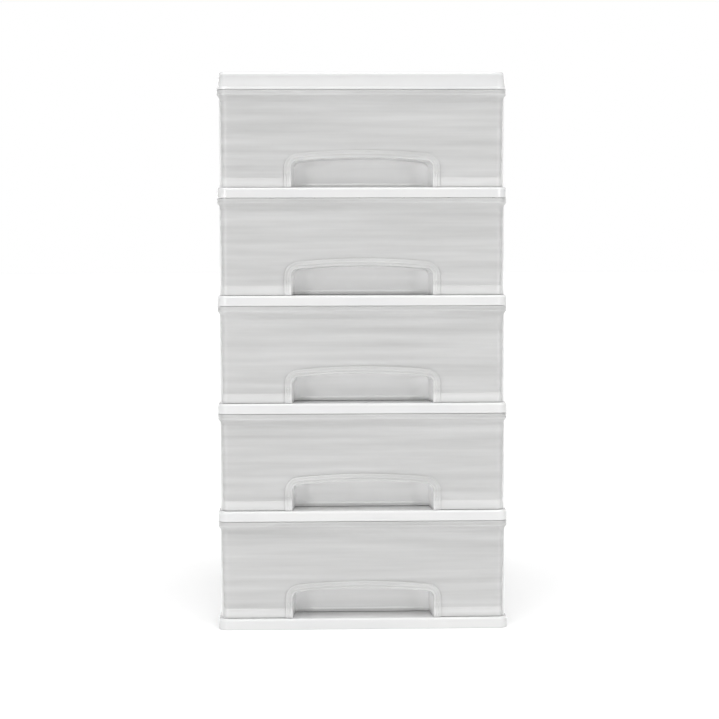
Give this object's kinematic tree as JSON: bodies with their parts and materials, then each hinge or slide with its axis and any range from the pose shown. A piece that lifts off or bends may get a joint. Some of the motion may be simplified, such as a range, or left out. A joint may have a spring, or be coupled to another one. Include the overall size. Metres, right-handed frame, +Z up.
{
  "type": "plastic drawer tower",
  "caption": "Tall white plastic tower with translucent rippled drawers that slide out between moulded shelves, each with an arched finger pocket.",
  "frame": {"origin": "middle of the footprint, on the surface the tower stands on", "axes": "+Z up, -Y the way the drawers open, +X to the right as someone facing the drawers sees it"},
  "size_m": [0.29, 0.38, 0.558],
  "materials": {
    "white_plastic": "white moulded polypropylene, satin gloss, used for the lid, shelves and base",
    "panel_plastic": "white moulded polypropylene with a fine matt grain, used for the side and back panels",
    "frosted_plastic": "translucent frosted polypropylene, pale grey, smooth and slightly glossy"
  },
  "bodies": {
    "carcass": {"lid": "white_plastic", "base": "white_plastic", "shelf_1": "white_plastic", "shelf_2": "white_plastic", "shelf_3": "white_plastic", "shelf_4": "white_plastic", "left_panel_1": "panel_plastic", "left_panel_2": "panel_plastic", "left_panel_3": "panel_plastic", "left_panel_4": "panel_plastic", "left_panel_5": "panel_plastic", "right_panel_1": "panel_plastic", "right_panel_2": "panel_plastic", "right_panel_3": "panel_plastic", "right_panel_4": "panel_plastic", "right_panel_5": "panel_plastic", "back_panel_1": "panel_plastic", "back_panel_2": "panel_plastic", "back_panel_3": "panel_plastic", "back_panel_4": "panel_plastic", "back_panel_5": "panel_plastic"},
    "drawer_1": {"drawer_1": "frosted_plastic"},
    "drawer_2": {"drawer_2": "frosted_plastic"},
    "drawer_3": {"drawer_3": "frosted_plastic"},
    "drawer_4": {"drawer_4": "frosted_plastic"},
    "drawer_5": {"drawer_5": "frosted_plastic"}
  },
  "joints": [
    {"name": "drawer_1_slide", "type": "slide", "parent": "carcass", "child": "drawer_1", "axis": [0, -1, 0], "range_m": [0, 0.282]},
    {"name": "drawer_2_slide", "type": "slide", "parent": "carcass", "child": "drawer_2", "axis": [0, -1, 0], "range_m": [0, 0.282]},
    {"name": "drawer_3_slide", "type": "slide", "parent": "carcass", "child": "drawer_3", "axis": [0, -1, 0], "range_m": [0, 0.282]},
    {"name": "drawer_4_slide", "type": "slide", "parent": "carcass", "child": "drawer_4", "axis": [0, -1, 0], "range_m": [0, 0.282]},
    {"name": "drawer_5_slide", "type": "slide", "parent": "carcass", "child": "drawer_5", "axis": [0, -1, 0], "range_m": [0, 0.282]}
  ]
}
